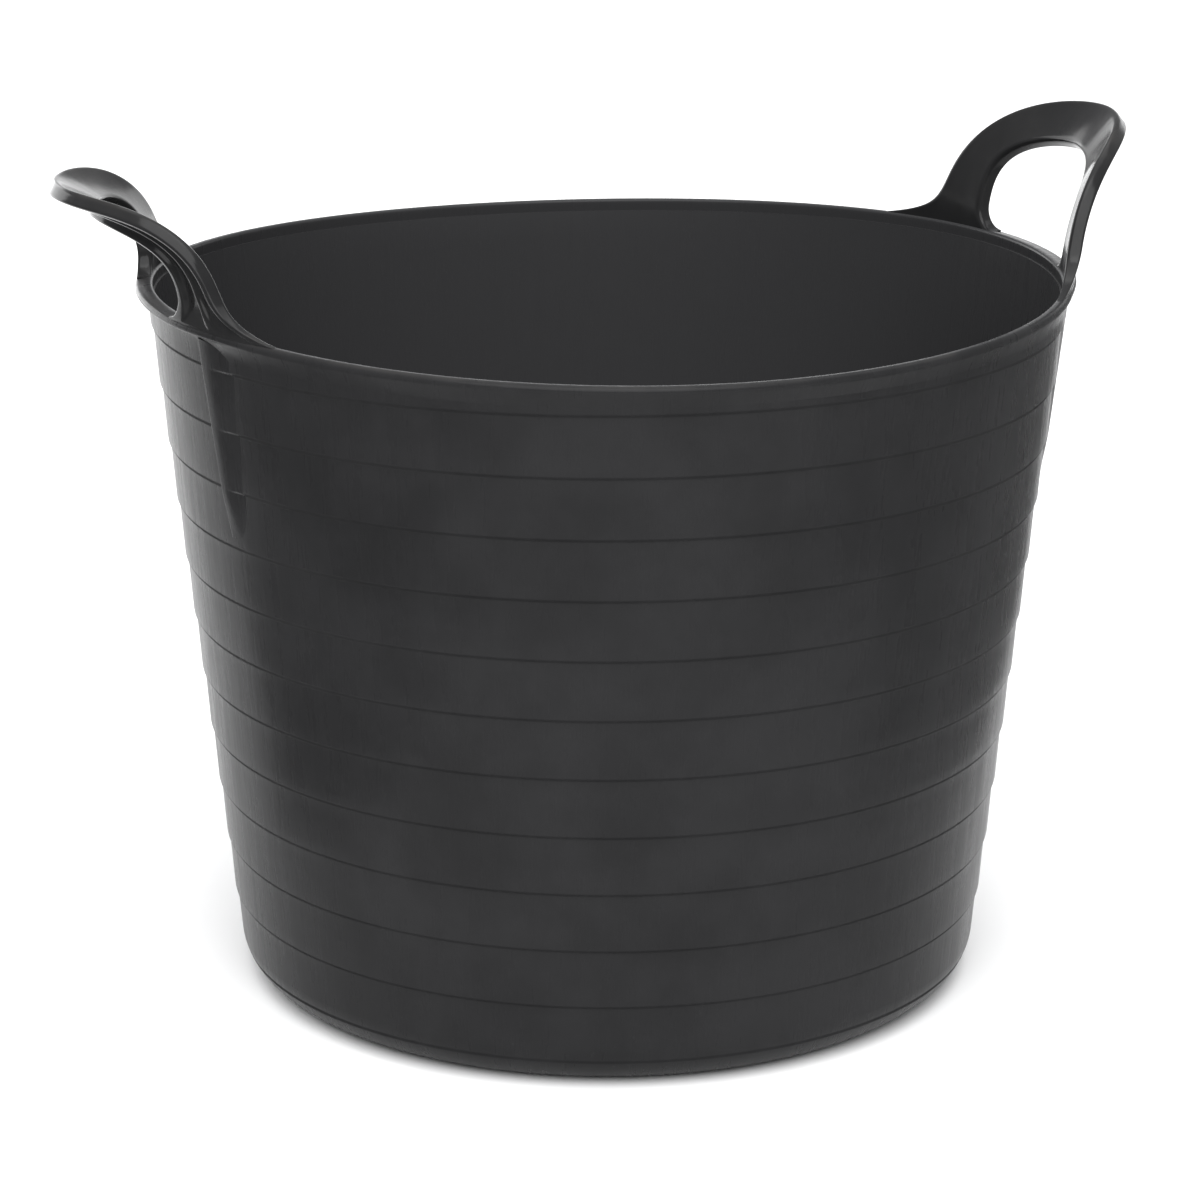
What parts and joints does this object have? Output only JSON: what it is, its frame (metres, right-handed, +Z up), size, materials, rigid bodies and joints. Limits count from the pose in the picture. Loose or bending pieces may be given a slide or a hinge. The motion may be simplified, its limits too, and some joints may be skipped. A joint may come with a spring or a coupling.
{
  "type": "florist bucket",
  "caption": "Round flexible florist bucket: tapered tub with stepped wall bands, thick rim and opposed loop handles that bend at their roots, for carrying cut flowers in water.",
  "frame": {"origin": "centre of the ring that the tub stands on, at ground level", "axes": "+Z up along the tub's axis, +X towards the right handle, +Y towards the back"},
  "size_m": [0.5298, 0.4488, 0.4198],
  "materials": {
    "tub_plastic": "satin black moulded polyethylene",
    "handle_plastic": "satin black moulded polyethylene, smoother where it is gripped"
  },
  "bodies": {
    "tub": {"floor": "tub_plastic", "heel": "tub_plastic", "wall": "tub_plastic", "rim_bead": "tub_plastic", "left_front_strap": "tub_plastic", "left_back_strap": "tub_plastic", "right_front_strap": "tub_plastic", "right_back_strap": "tub_plastic", "left_lip": "tub_plastic", "right_lip": "tub_plastic", "left_front_root": "handle_plastic", "left_back_root": "handle_plastic", "right_front_root": "handle_plastic", "right_back_root": "handle_plastic"},
    "left_handle": {"left_handle": "handle_plastic"},
    "right_handle": {"right_handle": "handle_plastic"}
  },
  "joints": [
    {"name": "left_handle_flex", "type": "hinge", "parent": "tub", "child": "left_handle", "pos_m": [-0.209, 0, 0.359], "axis": [0, 1, 0], "range_deg": [-45, 60], "stiffness_Nm_per_rad": 2, "deforming": ["left_front_root", "left_back_root"]},
    {"name": "right_handle_flex", "type": "hinge", "parent": "tub", "child": "right_handle", "pos_m": [0.209, 0, 0.359], "axis": [0, -1, 0], "range_deg": [-45, 60], "stiffness_Nm_per_rad": 2, "deforming": ["right_front_root", "right_back_root"]}
  ]
}
